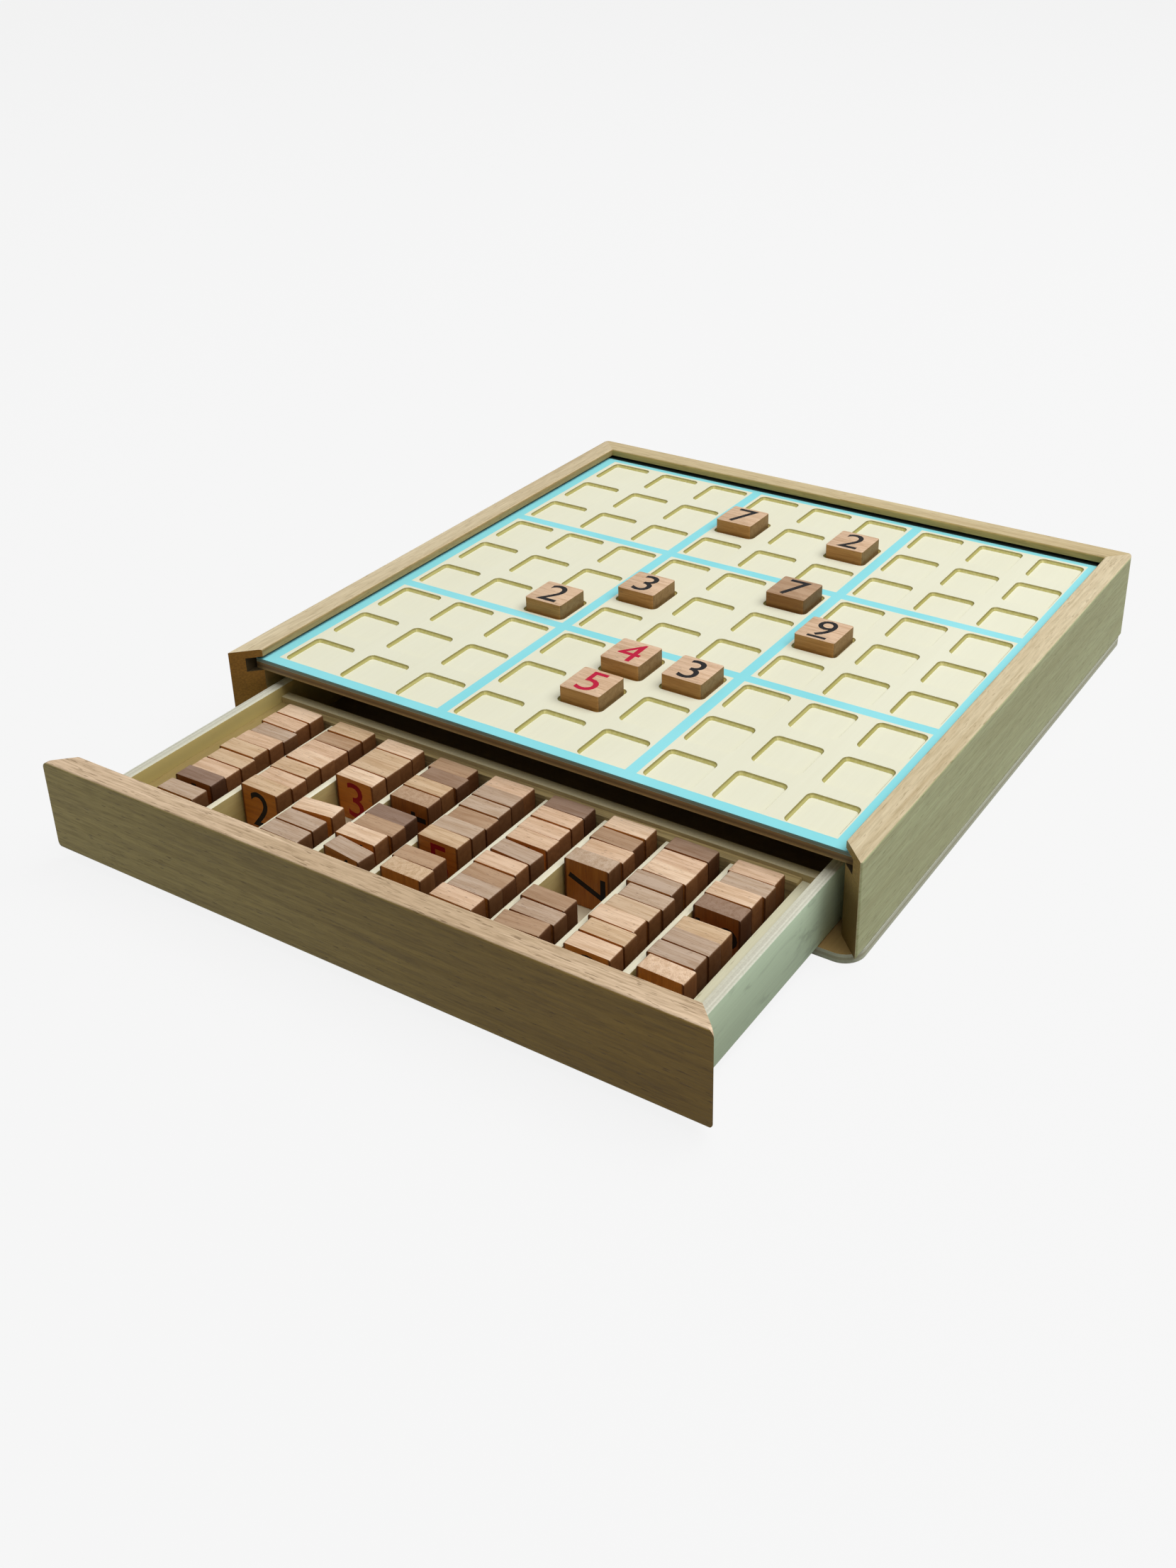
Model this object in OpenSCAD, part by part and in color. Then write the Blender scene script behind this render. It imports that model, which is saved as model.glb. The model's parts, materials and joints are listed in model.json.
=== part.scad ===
// Wooden sudoku board: a mitred box with a recessed board on top and a drawer of number tiles.
// Millimetres. +Z is up, the drawer opens towards -Y, the origin is under the middle of the base plate.

/* [Box] */
// Margin between the grid and the side rails
side_margin = 2.05; // [1:0.05:6]
// Margin between the grid and the back rail
end_margin = 1.55; // [1:0.05:6]
// Width of a rail, seen from above
rail_w = 8.6; // [6.5:0.1:9]
// Rounding of the rails' long edges
rail_edge_r = 0.8; // [0.3:0.1:1.5]
// Rounding of the box's upright corners at the back
corner_r = 3.8; // [0.5:0.1:5]
// Rounding of the side rails' tips at the front
tip_r = 1.6; // [0.5:0.1:3]
// Thickness of the base plate
plate_t = 3.2; // [2:0.1:6]
// Rounding of the base plate's corners
plate_corner_r = 7; // [2:0.5:16]

/* [Board] */
// Thickness of the board
board_t = 4; // [3:0.1:6]
// Height of the rails' tops above the board
board_drop = 4; // [2:0.1:6]
// Wood left between neighbouring recesses
cell_gap = 7.3; // [5:0.1:12]
// Depth of a recess
recess_depth = 1.3; // [0.6:0.1:2]
// Rounding of a recess's corners
recess_r = 1.8; // [0.8:0.1:4]
// Room between a tile and the recess wall
recess_play = 0.7; // [0.3:0.1:1.5]
// Reach of the board's edge into the rails' grooves
tongue = 3.4; // [1:0.1:3.6]
// Room past the board's edge in a groove
tongue_room = 0.8; // [0.2:0.1:1]
// Room over the board in a groove
groove_room = 1.2; // [0.1:0.1:1.5]

/* [Drawer] */
// Distance that the drawer is drawn out
drawer_out = 80; // [0:1:140]
// Thickness of the drawer front
front_t = 8.2; // [6:0.1:8.3]
// Height of the rails' tops above the drawer front
front_drop = 1.2; // [0:0.1:4]
// Gap under the drawer front
front_gap = 0.5; // [0.3:0.1:2]
// Rounding of the drawer front's lower corners
front_corner_r = 2.2; // [1.6:0.1:4]
// Gap between the mitred ends and the rails
mitre_gap = 0.4; // [0.2:0.1:1]
// Gap between the closed drawer front and the board
board_gap = 0.5; // [0.3:0.1:2]
// Room between a drawer side and a rail
drawer_play = 3.2; // [0.5:0.1:5]
// Running clearance under the drawer
running_gap = 0.2; // [0.1:0.05:0.5]
// Thickness of the drawer's walls
wall_t = 3.8; // [2.5:0.1:5]
// Height of the drawer's sides above the stored tiles
tile_cover = 2.6; // [1:0.1:6]
// Free height between the drawer's sides and the board
headroom = 4.9; // [2:0.1:12]
// Thickness of the drawer bottom
bottom_t = 2; // [1.5:0.1:3.5]
// Room behind the closed drawer
rear_room = 7; // [2:0.5:20]

/* [Compartments] */
// Length to spare in a compartment that holds all its tiles
spare_room = 1.8; // [1.2:0.1:20]
// Thickness of a divider
divider_t = 2.4; // [1:0.1:2.8]
// Height of the drawer sides' tops above the dividers
divider_drop = 5.6; // [2:0.1:10]
// Thickness of the spacer strip along each side
spacer_t = 6; // [3:0.1:6.5]
// Height of the drawer sides' tops above the partition
partition_drop = 3.4; // [1:0.1:8]
// Thickness of the strip in front of the partition
back_strip_t = 3.3; // [1.5:0.1:5]
// Height of the drawer sides' tops above that strip
back_strip_drop = 4.6; // [2:0.1:10]

/* [Tiles] */
// Side of a tile
tile_w = 15.6; // [14:0.1:16]
// Thickness of a tile
tile_t = 6.4; // [5:0.1:6.6]
// Rounding of a tile's corners
tile_r = 0.5; // [0.3:0.1:2]
// Gap between neighbouring stored tiles
tile_gap = 0.2; // [0.1:0.05:0.3]
// How much the heights of stored tiles differ
tile_spread = 0.6; // [0:0.05:1]
// Empty length between the stored tiles and the drawer front
front_room = 15; // [13:0.5:24]
// How much farther back the front groups of the fours, fives and nines stand
set_back = 3.5; // [0:0.1:4.5]
// Gap between the stored tiles and the back strip
back_room = 0.4; // [0.2:0.1:1]

/* [Hidden] */

// Smoothness of round edges
$fn = 32;
// Overrun of every cut past the face that it opens
overrun = 1;

// A sudoku has nine rows, nine columns and nine tiles of each number
cells = 9;

// Grid of the board, and the outline of the box around it
recess_w = tile_w + 2 * recess_play;
cell_pitch = recess_w + cell_gap;
box_w = cells * cell_pitch + 2 * side_margin + 2 * rail_w;
box_d = cells * cell_pitch + 2 * end_margin + 2 * rail_w;

// Levels, from the base plate up
drawer_z = plate_t + running_gap;
bottom_top = drawer_z + bottom_t;
side_top = bottom_top + tile_w + tile_cover;
board_under = side_top + headroom;
board_top = board_under + board_t;
rail_top = board_top + board_drop;
rail_h = rail_top - plate_t;

// Inner faces of the rails and edges of the board
inner_x = box_w / 2 - rail_w;
inner_y = box_d / 2 - rail_w;
groove_depth = tongue + tongue_room;
front_back_y = -box_d / 2 + front_t;
board_front_y = front_back_y + board_gap;
board_back_y = inner_y + tongue;

// Drawer front
front_z = plate_t + front_gap;
front_h = rail_top - front_drop - front_z;
mitre_cut = mitre_gap * sqrt(2);
front_half = box_w / 2 - mitre_cut;

// Drawer walls, with the drawer closed
tile_step = tile_t + tile_gap;
compartment_d = back_room + cells * tile_step + spare_room + front_room;
drawer_x = inner_x - drawer_play;
wall_x = drawer_x - wall_t;
spacer_x = wall_x - spacer_t;
strip_y = front_back_y + compartment_d;
partition_y = strip_y + back_strip_t;
rear_y = inner_y - rear_room;

// Compartments and the tiles stored in them, counted from the left
column_pitch = (2 * spacer_x + divider_t) / cells;
column_w = column_pitch - divider_t;
rear_counts = [8, 7, 4, 4, 6, 4, 4, 9, 4];
front_counts = [1, 0, 3, 4, 2, 5, 3, 0, 4];
standing_back = [0, 0, 0, 1, 1, 0, 0, 0, 1];
// Turn of the rearmost and the foremost tile of each front group, in degrees
rear_turns = [0, 0, 7, 0, 0, -4, 0, 0, 0];
front_turns = [0, 0, 0, -7, 0, 0, 3, 0, 0];
// Sideways place and scatter of the stored tiles, as shares of their play, and the angle steps that vary it
lean_shares = [-0.5, -0.4, -0.5, -0.5, -0.6, -0.6, -0.5, -0.6, -0.7];
sway_share = 0.2;
sway_step = 143;
column_step = 67;
spread_step = 101;

// Row from the back and column from the left of each tile on the board
board_places = [[2, 4], [2, 6], [4, 6], [5, 4], [5, 7], [6, 3], [7, 5], [7, 6], [8, 5]];

function column_x(c) = (c - (cells + 1) / 2) * column_pitch;
function cell_x(col) = (col - (cells + 1) / 2) * cell_pitch;
function cell_y(row) = ((cells + 1) / 2 - row) * cell_pitch;
function turn_room(angle) = tile_w / 2 * sin(abs(angle));
function sway(c, i) = (column_w - tile_w) / 2
  * (lean_shares[c - 1] + sway_share * sin(i * sway_step + c * column_step));
function stored_h(c, i) = tile_w + tile_spread / 2 * sin(i * spread_step + c * column_step);

// Rectangle with round corners, centred
module rounded_rect(w, h, r) {
  square([w - 2 * r, h], center = true);
  square([w, h - 2 * r], center = true);
  for (sx = [-1, 1], sy = [-1, 1])
    translate([sx * (w / 2 - r), sy * (h / 2 - r)]) circle(r);
}

// Upright block on a rounded outline
module rounded_block(w, d, h, r) {
  linear_extrude(h) rounded_rect(w, d, r);
}

// Bar along Y with round long edges, centred in X and on its length, standing on z = 0
module rounded_bar(w, h, length, r) {
  translate([0, length / 2, h / 2]) rotate([90, 0, 0]) linear_extrude(length) rounded_rect(w, h, r);
}

// Box from its lowest corner to its highest
module slab(low, high) {
  translate(low) cube(high - low);
}

// Rail along Y on the right of the box, of the given half length, mitred at both ends
module mitred_rail(half_w, half_l) {
  intersection() {
    difference() {
      translate([half_w - rail_w / 2, 0, plate_t]) rounded_bar(rail_w, rail_h, 2 * half_l, rail_edge_r);
      slab([half_w - rail_w - overrun, -half_l - overrun, board_under],
           [half_w - rail_w + groove_depth, half_l + overrun, board_top + groove_room]);
    }
    translate([0, 0, plate_t]) linear_extrude(rail_h)
      polygon([[half_w, -half_l], [half_w, half_l],
               [half_w - rail_w, half_l - rail_w], [half_w - rail_w, rail_w - half_l]]);
  }
}

// Space inside the rails' outline, rounder at the back corners than at the front tips
module rail_space() {
  translate([0, 0, plate_t]) linear_extrude(rail_h) intersection() {
    rounded_rect(box_w, box_d, tip_r);
    translate([0, -corner_r / 2]) rounded_rect(box_w, box_d + corner_r, corner_r);
  }
}

// Box
module base_plate() {
  color("burlywood") rounded_block(box_w, box_d, plate_t, plate_corner_r);
}

module side_rail() {
  intersection() {
    mitred_rail(box_w / 2, box_d / 2);
    rail_space();
  }
}

module right_rail() {
  color("tan") side_rail();
}

module left_rail() {
  color("tan") mirror([1, 0, 0]) side_rail();
}

module back_rail() {
  color("tan") intersection() {
    rotate([0, 0, 90]) mitred_rail(box_d / 2, box_w / 2);
    rail_space();
  }
}

module recess() {
  translate([0, 0, board_top - recess_depth])
    rounded_block(recess_w, recess_w, recess_depth + overrun, recess_r);
}

module board_panel() {
  color("ivory") difference() {
    slab([-inner_x - tongue, board_front_y, board_under], [inner_x + tongue, board_back_y, board_top]);
    for (row = [1 : cells], col = [1 : cells]) translate([cell_x(col), cell_y(row), 0]) recess();
  }
}

// Drawer, drawn out of the box
module drawn_out() {
  translate([0, -drawer_out, 0]) children();
}

module drawer_front() {
  color("peru") drawn_out() intersection() {
    translate([0, -box_d / 2 + front_t / 2, front_z])
      rotate([0, 0, 90]) rounded_bar(front_t, front_h, 2 * front_half, rail_edge_r);
    translate([0, front_back_y + overrun, front_z + front_h / 2])
      rotate([90, 0, 0]) linear_extrude(front_t + 2 * overrun) rounded_rect(2 * front_half, front_h, front_corner_r);
    translate([0, 0, front_z]) linear_extrude(front_h)
      polygon([[-front_half, -box_d / 2], [front_half, -box_d / 2],
               [front_half - front_t, front_back_y], [front_t - front_half, front_back_y]]);
  }
}

module drawer_side() {
  slab([wall_x, front_back_y, drawer_z], [drawer_x, rear_y, side_top]);
}

module drawer_right_side() {
  color("wheat") drawn_out() drawer_side();
}

module drawer_left_side() {
  color("wheat") drawn_out() mirror([1, 0, 0]) drawer_side();
}

module drawer_rear_wall() {
  color("wheat") drawn_out() slab([-wall_x, rear_y - wall_t, drawer_z], [wall_x, rear_y, side_top]);
}

module drawer_bottom() {
  color("burlywood") drawn_out() slab([-wall_x, front_back_y, drawer_z], [wall_x, rear_y - wall_t, bottom_top]);
}

module partition() {
  color("wheat") drawn_out()
    slab([-wall_x, partition_y, bottom_top], [wall_x, partition_y + wall_t, side_top - partition_drop]);
}

module back_strip() {
  color("cornsilk") drawn_out()
    slab([-spacer_x, strip_y, bottom_top], [spacer_x, partition_y, side_top - back_strip_drop]);
}

module spacer() {
  slab([spacer_x, front_back_y, bottom_top], [wall_x, partition_y, side_top - divider_drop]);
}

module right_spacer() {
  color("cornsilk") drawn_out() spacer();
}

module left_spacer() {
  color("cornsilk") drawn_out() mirror([1, 0, 0]) spacer();
}

// Divider on the right of compartment c
module divider(c) {
  color("cornsilk") drawn_out() translate([column_x(c) + column_pitch / 2, 0, 0])
    slab([-divider_t / 2, front_back_y, bottom_top], [divider_t / 2, strip_y, side_top - divider_drop]);
}

// Number tile lying flat on z = 0, with its face up
module tile(h) {
  rounded_block(tile_w, h, tile_t, tile_r);
}

// Tile standing on edge in compartment c, with its middle at y
module stored_tile(c, i, y, angle) {
  h = stored_h(c, i);
  translate([column_x(c) + sway(c, i), y, bottom_top + h / 2])
    rotate([90, 0, angle]) translate([0, 0, -tile_t / 2]) tile(h);
}

// Tiles stored in compartment c: one group at the back and one nearer the front
module stored_tiles(c) {
  rear_n = rear_counts[c - 1];
  front_n = front_counts[c - 1];
  rear_turn = rear_turns[c - 1];
  front_turn = front_turns[c - 1];
  back_y = strip_y - back_room - tile_t / 2;
  fore_y = front_back_y + front_room + standing_back[c - 1] * set_back + tile_t / 2;
  color("rosybrown") drawn_out() {
    for (i = [0 : 1 : rear_n - 1]) stored_tile(c, i, back_y - i * tile_step, 0);
    for (i = [0 : 1 : front_n - 1]) {
      foremost = i == 0;
      rearmost = i == front_n - 1;
      angle = rearmost ? rear_turn : foremost ? front_turn : 0;
      shift = rearmost ? turn_room(rear_turn) : foremost ? -turn_room(front_turn) : 0;
      stored_tile(c, rear_n + i, fore_y + i * tile_step + shift, angle);
    }
  }
}

// Tile standing in a recess of the board
module board_tile(n) {
  place = board_places[n - 1];
  color("rosybrown") translate([cell_x(place[1]), cell_y(place[0]), board_top - recess_depth]) tile(tile_w);
}

base_plate();
left_rail();
right_rail();
back_rail();
board_panel();
drawer_front();
drawer_left_side();
drawer_right_side();
drawer_rear_wall();
drawer_bottom();
partition();
back_strip();
left_spacer();
right_spacer();
divider(1);  // divider_1
divider(2);  // divider_2
divider(3);  // divider_3
divider(4);  // divider_4
divider(5);  // divider_5
divider(6);  // divider_6
divider(7);  // divider_7
divider(8);  // divider_8
stored_tiles(1);  // stored_ones
stored_tiles(2);  // stored_twos
stored_tiles(3);  // stored_threes
stored_tiles(4);  // stored_fours
stored_tiles(5);  // stored_fives
stored_tiles(6);  // stored_sixes
stored_tiles(7);  // stored_sevens
stored_tiles(8);  // stored_eights
stored_tiles(9);  // stored_nines
board_tile(1);  // board_tile_1
board_tile(2);  // board_tile_2
board_tile(3);  // board_tile_3
board_tile(4);  // board_tile_4
board_tile(5);  // board_tile_5
board_tile(6);  // board_tile_6
board_tile(7);  // board_tile_7
board_tile(8);  // board_tile_8
board_tile(9);  // board_tile_9
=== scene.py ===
import json
import math
import random

import bmesh
import bpy
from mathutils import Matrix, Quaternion, Vector

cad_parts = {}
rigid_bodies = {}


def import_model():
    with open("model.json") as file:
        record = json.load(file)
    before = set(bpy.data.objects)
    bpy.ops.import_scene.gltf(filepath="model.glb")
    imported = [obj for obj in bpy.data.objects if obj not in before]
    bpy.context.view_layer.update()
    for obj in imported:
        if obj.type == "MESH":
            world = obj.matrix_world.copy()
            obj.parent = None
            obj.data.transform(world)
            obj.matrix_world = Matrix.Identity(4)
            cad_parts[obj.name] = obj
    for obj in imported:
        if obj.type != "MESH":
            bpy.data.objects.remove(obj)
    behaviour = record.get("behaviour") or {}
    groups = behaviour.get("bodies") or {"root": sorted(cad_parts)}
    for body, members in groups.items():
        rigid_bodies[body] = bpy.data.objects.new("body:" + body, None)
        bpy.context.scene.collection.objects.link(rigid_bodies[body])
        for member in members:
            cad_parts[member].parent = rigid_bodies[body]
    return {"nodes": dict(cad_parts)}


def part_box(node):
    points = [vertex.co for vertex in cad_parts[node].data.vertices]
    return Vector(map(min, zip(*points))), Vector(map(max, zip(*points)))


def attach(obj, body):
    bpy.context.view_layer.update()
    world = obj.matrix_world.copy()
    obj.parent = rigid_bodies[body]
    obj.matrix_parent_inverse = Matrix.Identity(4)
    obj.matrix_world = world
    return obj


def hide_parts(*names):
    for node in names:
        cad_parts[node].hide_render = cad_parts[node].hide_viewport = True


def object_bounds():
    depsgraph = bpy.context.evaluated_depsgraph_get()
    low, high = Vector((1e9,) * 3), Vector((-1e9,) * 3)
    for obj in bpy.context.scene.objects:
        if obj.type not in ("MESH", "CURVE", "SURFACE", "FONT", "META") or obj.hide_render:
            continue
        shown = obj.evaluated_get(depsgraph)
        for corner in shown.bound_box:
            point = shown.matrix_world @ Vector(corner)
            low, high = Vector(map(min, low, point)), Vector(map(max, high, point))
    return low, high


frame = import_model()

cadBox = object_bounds()
nodes = frame["nodes"]
scene = bpy.context.scene
mm = 0.001
print("frame loaded:", len(nodes), "nodes")


# A socket that takes part in sums, so shader maths reads as plain arithmetic
class Value:
    def __init__(self, graph, socket):
        self.graph, self.socket = graph, socket

    def math(self, operation, left, right):
        return self.graph.node("ShaderNodeMath", {"operation": operation}, {0: left, 1: right})

    def __add__(self, other):
        return self.math("ADD", self, other)

    def __radd__(self, other):
        return self.math("ADD", other, self)

    def __sub__(self, other):
        return self.math("SUBTRACT", self, other)

    def __rsub__(self, other):
        return self.math("SUBTRACT", other, self)

    def __mul__(self, other):
        return self.math("MULTIPLY", self, other)

    def __rmul__(self, other):
        return self.math("MULTIPLY", other, self)

    def __truediv__(self, other):
        return self.math("DIVIDE", self, other)

    def __gt__(self, other):
        return self.math("GREATER_THAN", self, other)

    def __lt__(self, other):
        return self.math("LESS_THAN", self, other)

    def __abs__(self):
        return self.math("ABSOLUTE", self, 0.0)

    def __or__(self, other):
        return self.math("MAXIMUM", self, other)

    def __and__(self, other):
        return self.math("MINIMUM", self, other)


def shade(colour):
    return (*colour, 1.0)


def times(colour, level):
    return tuple(part * level for part in colour)


# A node tree, for materials and for geometry alike
class Graph:
    def __init__(self, tree):
        self.tree = tree

    def node(self, kind, settings=None, sockets=None, out=0):
        made = self.tree.nodes.new(kind)
        for name, setting in (settings or {}).items():
            if name == "stops":
                ramp = made.color_ramp
                while len(ramp.elements) < len(setting):
                    ramp.elements.new(0.5)
                for element, (place, colour) in zip(ramp.elements, setting):
                    element.position, element.color = place, shade(colour)
            else:
                setattr(made, name, setting)
        for name, value in (sockets or {}).items():
            several = value if isinstance(value, list) else [value]
            for one in several:
                if isinstance(one, Value):
                    self.tree.links.new(one.socket, made.inputs[name])
                else:
                    made.inputs[name].default_value = one
        return Value(self, made.outputs[out]) if made.outputs else None


# A material with its own small vocabulary
class Finish(Graph):
    def __init__(self, name, roughness, specular):
        self.material = bpy.data.materials.new(name)
        self.material.use_nodes = True
        super().__init__(self.material.node_tree)
        self.shader = self.tree.nodes["Principled BSDF"]
        self.shader.inputs["Roughness"].default_value = roughness
        self.shader.inputs["Specular IOR Level"].default_value = specular
        self.place = self.node("ShaderNodeTexCoord", out="Object")

    def feed(self, name, value):
        self.tree.links.new(value.socket, self.shader.inputs[name])

    def axis(self, vector, name):
        return self.node("ShaderNodeSeparateXYZ", None, {0: vector}, out=name)

    def at(self, name):
        return self.axis(self.place, name)

    def attribute(self, name, out):
        return self.node("ShaderNodeAttribute", {"attribute_name": name}, out=out)

    def facing(self, name):
        return self.axis(self.node("ShaderNodeNewGeometry", out="Normal"), name)

    # Faces that look along an axis, either way
    def squareOn(self, name, share=0.7):
        return abs(self.facing(name)) > share

    # The same, fading in from one share to another
    def towards(self, name, low=0.6, high=0.9):
        return self.smooth(abs(self.facing(name)), low, high)

    # Faces on the left and right that look towards the middle
    def inward(self):
        return self.at("X") * self.facing("X") < 0.0

    def stretched(self, vector, scale, shift=(0, 0, 0)):
        return self.node("ShaderNodeMapping", None, {"Vector": vector, "Scale": scale, "Location": shift})

    def noise(self, vector, detail, rough, warp=0.0):
        return self.node("ShaderNodeTexNoise", None, {
            "Vector": vector, "Scale": 1.0, "Detail": detail, "Roughness": rough, "Distortion": warp})

    # Noise drawn out along one axis, with its scale per metre along and across
    def grain(self, along, scale, shift=(0, 0, 0), vector=None, **noise):
        lengthwise, across = scale
        stretch = tuple(lengthwise if axis == along else across for axis in "XYZ")
        return self.noise(self.stretched(vector or self.place, stretch, shift), **noise)

    def ramp(self, value, stops):
        return self.node("ShaderNodeValToRGB", {"stops": stops}, {0: value})

    # From dark to light around the middle of a noise
    def tones(self, value, dark, light, spread=0.2):
        return self.ramp(value, [(0.5 - spread, dark), (0.5 + spread, light)])

    def smooth(self, value, low, high):
        return self.node("ShaderNodeMapRange", {"interpolation_type": "SMOOTHSTEP"}, {
            "Value": value, "From Min": low, "From Max": high})

    def mix(self, share, first, second, blend="MIX"):
        first, second = (one if isinstance(one, Value) else shade(one) for one in (first, second))
        return self.node("ShaderNodeMix", {"data_type": "RGBA", "blend_type": blend},
                         {0: share, 6: first, 7: second}, out=2)  # the node's colour sockets

    def tinted(self, colour, tint):
        return self.mix(1.0, colour, tint, "MULTIPLY")

    def bump(self, height, distance, strength=0.5):
        self.feed("Normal", self.node("ShaderNodeBump", None, {
            "Height": height, "Distance": distance, "Strength": strength}))


# Objects that are linked to the scene, some only for a while
def hold(name, data):
    made = bpy.data.objects.new(name, data)
    scene.collection.objects.link(made)
    return made


# Camera at the photograph's viewing angle
view = {
    "place": (0.27449, -0.47383, 0.30512),
    "turn": (0.823516, 0.494041, 0.148954, 0.235707),
    "lens": 38.62,
    "sensor": 36.0,
    "shift": (-0.0292, -0.0840),
    "clip": (0.01, 50.0),
}
camera = hold("camera", bpy.data.cameras.new("camera"))
camera.location = view["place"]
camera.rotation_mode = "QUATERNION"
camera.rotation_quaternion = Quaternion(view["turn"])
camera.data.lens, camera.data.sensor_width = view["lens"], view["sensor"]
camera.data.shift_x, camera.data.shift_y = view["shift"]
camera.data.clip_start, camera.data.clip_end = view["clip"]
scene.camera = camera


# Floor, world and lamps
studio = {
    "white": (1.0, 1.0, 1.0),
    "background": 0.93,
    "skyLevel": 0.102,
    "floorSize": 6.0,
    "floorDrop": 0.2 * mm,
    "floorGlow": 0.873,
    "floorCoat": (0.057, 0.057, 0.057),
    "floorBounce": (0.28, 0.27, 0.24),
    "aim": (0, -0.04, 0.02),
    "keyPlace": (0.68, 0.34, 1.80),
    "keySize": 2.0,
    "keyPower": 45.2,
    "fillPlace": (-0.62, -0.68, 0.4),
    "fillSize": 0.6,
    "fillPower": 0.28,
}
scene.view_settings.view_transform = "Standard"


def seenDirectly(graph):
    rays = [graph.node("ShaderNodeLightPath", out=name)
            for name in ("Is Camera Ray", "Is Glossy Ray", "Is Transmission Ray")]
    return rays[0] | rays[1] | rays[2]


def emptied(owner):
    owner.use_nodes = True
    owner.node_tree.nodes.clear()
    return Graph(owner.node_tree)


scene.world = bpy.data.worlds.new("studio")
sky = emptied(scene.world)
level = studio["skyLevel"] + seenDirectly(sky) * (studio["background"] - studio["skyLevel"])
light = sky.node("ShaderNodeBackground", None, {"Color": shade(studio["white"]), "Strength": level})
sky.node("ShaderNodeOutputWorld", None, {"Surface": light})

floorPaint = bpy.data.materials.new("floorPaint")
ground = emptied(floorPaint)
paleGlow = ground.node("ShaderNodeEmission", None, {
    "Color": shade(studio["white"]), "Strength": studio["floorGlow"]})
paleCoat = ground.node("ShaderNodeBsdfDiffuse", None, {"Color": shade(studio["floorCoat"])})
darkCoat = ground.node("ShaderNodeBsdfDiffuse", None, {"Color": shade(studio["floorBounce"])})
seen = ground.node("ShaderNodeAddShader", None, {0: paleGlow, 1: paleCoat})
both = ground.node("ShaderNodeMixShader", None, {0: seenDirectly(ground), 1: darkCoat, 2: seen})
ground.node("ShaderNodeOutputMaterial", None, {"Surface": both})

half = studio["floorSize"] / 2
floorMesh = bpy.data.meshes.new("floor")
floorCorners = [(-half, -half, 0), (half, -half, 0), (half, half, 0), (-half, half, 0)]
floorMesh.from_pydata(floorCorners, [], [(0, 1, 2, 3)])
floorMesh.materials.append(floorPaint)
floor = hold("floor", floorMesh)
floor.location.z = -studio["floorDrop"]

for lampName in ("key", "fill"):
    data = bpy.data.lights.new(lampName + "Lamp", "AREA")
    data.size, data.energy = studio[lampName + "Size"], studio[lampName + "Power"]
    lamp = hold(lampName + "Lamp", data)
    lamp.location = studio[lampName + "Place"]
    away = Vector(studio[lampName + "Place"]) - Vector(studio["aim"])
    lamp.rotation_euler = away.to_track_quat("Z", "Y").to_euler()
print("studio ready")


# Beech: bands, streaks, fibres, ray flecks and soft dashes along one axis, then what a look adds
beechGrain = {
    "bands": {"scale": (4, 75), "detail": 2.0, "rough": 0.5, "warp": 0.6},
    "streaks": {"scale": (11, 430), "detail": 2.0, "rough": 0.5, "warp": 0.3},
    "fibres": {"scale": (45, 1600), "detail": 3.0, "rough": 0.6},
    "flecks": {"scale": (230, 1900), "detail": 1.0, "rough": 0.4},
    "dashes": {"scale": (120, 1400), "detail": 3.0, "rough": 0.6, "warp": 0.3},
    "shares": {"bands": 0.36, "streaks": 0.34, "fibres": 0.3},
    "spread": 0.13,
    "fleckEdge": (0.65, 0.74),
    "fleckDepth": 0.6,
    "dashEdge": (0.37, 0.75),
    "mitreFacing": -0.5,
    "mitreLight": 1.5,
    "mitreShadeSpan": (0.88, 0.5),  # shares of the box's height
    "specular": 0.3,
    "roughSwing": 0.2,
    "relief": 0.12 * mm,
}


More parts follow.
